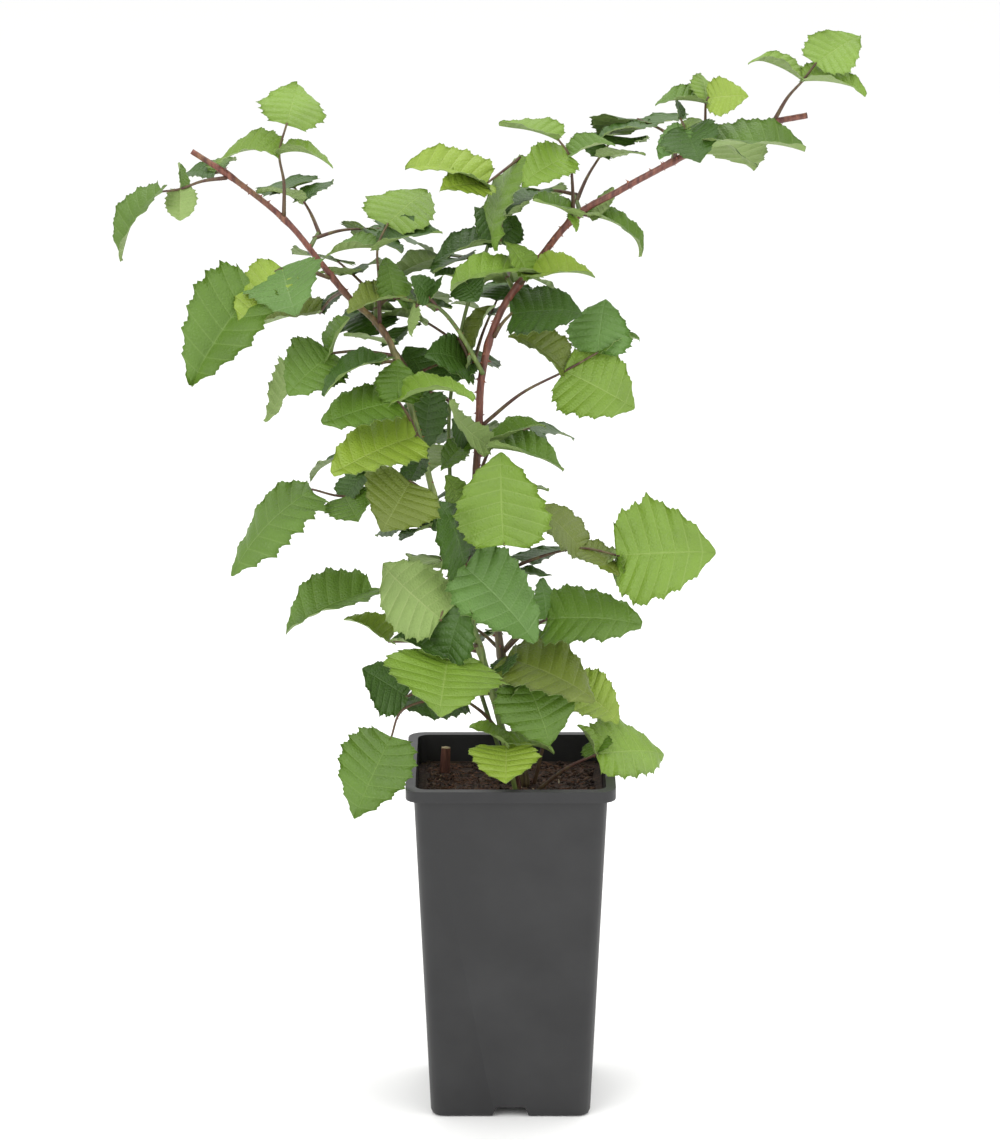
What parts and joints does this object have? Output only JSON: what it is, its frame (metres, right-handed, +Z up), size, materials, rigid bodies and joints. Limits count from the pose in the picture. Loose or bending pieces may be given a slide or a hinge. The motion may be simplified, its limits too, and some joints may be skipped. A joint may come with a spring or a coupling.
{
  "type": "potted tayberry",
  "caption": "Potted tayberry: two arching prickly canes with compound, toothed leaves, rising from compost in a deep square plastic nursery pot.",
  "frame": {"origin": "centre of the pot's flat underside", "axes": "+Z up, -Y towards the viewer of the picture, +X to the viewer's right"},
  "size_m": [0.4793, 0.1946, 0.7145],
  "materials": {
    "pot_plastic": "satin black moulded plastic",
    "compost": "damp fibrous compost",
    "cane": "red-brown prickly bark",
    "old_cane": "dry cut wood",
    "leaf_light": "light green pleated leaf",
    "leaf_mid": "mid green pleated leaf",
    "leaf_dark": "dark green pleated leaf"
  },
  "bodies": {
    "root": {"pot": "pot_plastic", "compost": "compost", "cane_stub": "old_cane", "cane_left": "cane", "cane_right": "cane", "shoot_middle": "leaf_dark", "shoot_side": "leaf_mid", "left_tip": "leaf_mid", "left_bud": "leaf_mid", "left_1": "leaf_light", "left_2": "leaf_mid", "left_3": "leaf_light", "left_4": "leaf_light", "left_5": "leaf_dark", "left_back": "leaf_dark", "left_6": "leaf_mid", "left_7": "leaf_dark", "left_8": "leaf_mid", "left_9": "leaf_dark", "left_10": "leaf_mid", "left_11": "leaf_mid", "left_12": "leaf_dark", "left_13": "leaf_light", "left_14": "leaf_dark", "left_15": "leaf_mid", "left_16": "leaf_dark", "right_tip": "leaf_light", "right_1": "leaf_light", "right_2": "leaf_mid", "right_3": "leaf_dark", "right_4": "leaf_light", "right_5": "leaf_mid", "right_6": "leaf_light", "right_7": "leaf_light", "right_8": "leaf_dark", "right_9": "leaf_mid", "right_10": "leaf_mid", "right_11": "leaf_light", "right_12": "leaf_mid", "right_13": "leaf_light", "right_14": "leaf_dark", "right_15": "leaf_dark", "right_16": "leaf_mid", "low_1": "leaf_light", "low_2": "leaf_mid", "low_3": "leaf_dark", "spray_1": "leaf_dark", "spray_2": "leaf_dark", "spray_3": "leaf_dark", "spray_4": "leaf_dark", "spray_5": "leaf_dark", "spray_6": "leaf_dark", "spray_7": "leaf_dark", "spray_8": "leaf_dark", "spray_9": "leaf_dark", "spray_10": "leaf_dark", "spray_11": "leaf_dark", "spray_12": "leaf_dark", "spray_13": "leaf_dark", "spray_14": "leaf_dark"}
  },
  "joints": []
}
